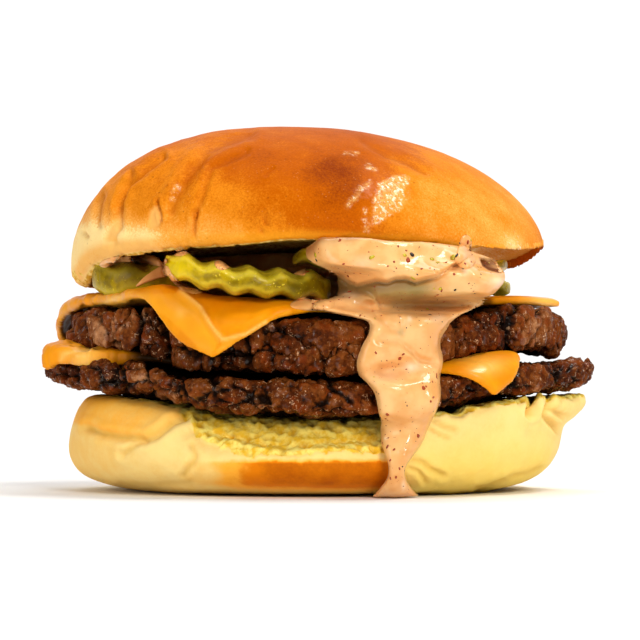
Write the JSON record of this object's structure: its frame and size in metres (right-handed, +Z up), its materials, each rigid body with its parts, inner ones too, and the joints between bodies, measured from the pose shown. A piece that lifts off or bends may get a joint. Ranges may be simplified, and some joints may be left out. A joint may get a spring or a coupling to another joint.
{
  "type": "double cheeseburger",
  "caption": "Double cheeseburger: soft glazed bun, craggy beef patties, melted cheese slices, crinkle-cut pickle chips and speckled pink sauce that drips down the front.",
  "frame": {"origin": "bottom centre of the bounding box, on the table under the bun", "axes": "+Z up through the layers, -Y the front with the sauce drip, +X to the right of the front, across the widest side"},
  "size_m": [0.121, 0.1142, 0.0794],
  "materials": {
    "bun_crust": "baked, egg-glazed golden brown crust",
    "bun_crumb": "soft yellow bread with a pale, thin crust",
    "beef": "seared coarse ground beef, damp with fat",
    "cheese": "soft melted processed cheese, satin",
    "pickle": "wet, slightly see-through pickled cucumber",
    "sauce": "glossy pink-cream burger sauce with dark spice specks"
  },
  "bodies": {
    "root": {"bun_bottom": "bun_crumb", "patty_lower": "beef", "cheese_lower": "cheese", "patty_upper": "beef", "cheese_upper": "cheese", "pickle_left": "pickle", "pickle_front": "pickle", "pickle_upper_right": "pickle", "pickle_lower_right": "pickle", "pickle_back_right": "pickle", "sauce": "sauce", "sauce_spread": "sauce", "bun_top": "bun_crust"}
  },
  "joints": []
}
